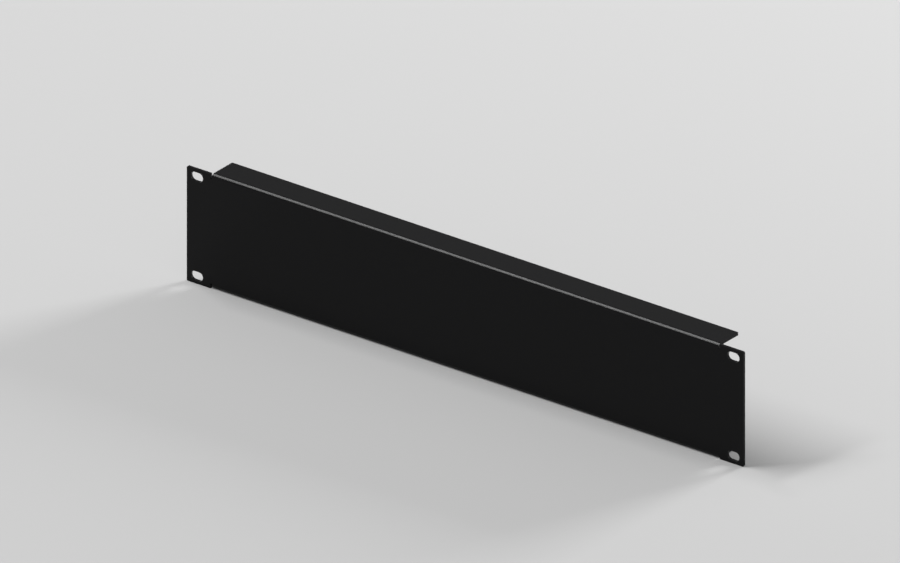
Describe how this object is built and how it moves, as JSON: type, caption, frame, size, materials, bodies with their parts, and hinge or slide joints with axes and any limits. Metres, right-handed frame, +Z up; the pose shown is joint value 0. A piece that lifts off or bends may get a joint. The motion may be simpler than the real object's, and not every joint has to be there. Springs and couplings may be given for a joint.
{
  "type": "rack blanking panel",
  "caption": "Folded sheet-steel panel with slotted ears and stiffening flanges along its long edges, which closes unused space in an equipment rack.",
  "frame": {"origin": "centre of the screw slot pattern, on the rear face of the ears, which seats on the rack's rails", "axes": "+X along the panel, +Y into the rack, +Z up"},
  "size_m": [0.4826, 0.0233, 0.0882],
  "materials": {
    "powder_coated_steel": "fine-textured black powder coat"
  },
  "bodies": {
    "root": {"blanking_panel": "powder_coated_steel"}
  },
  "joints": []
}
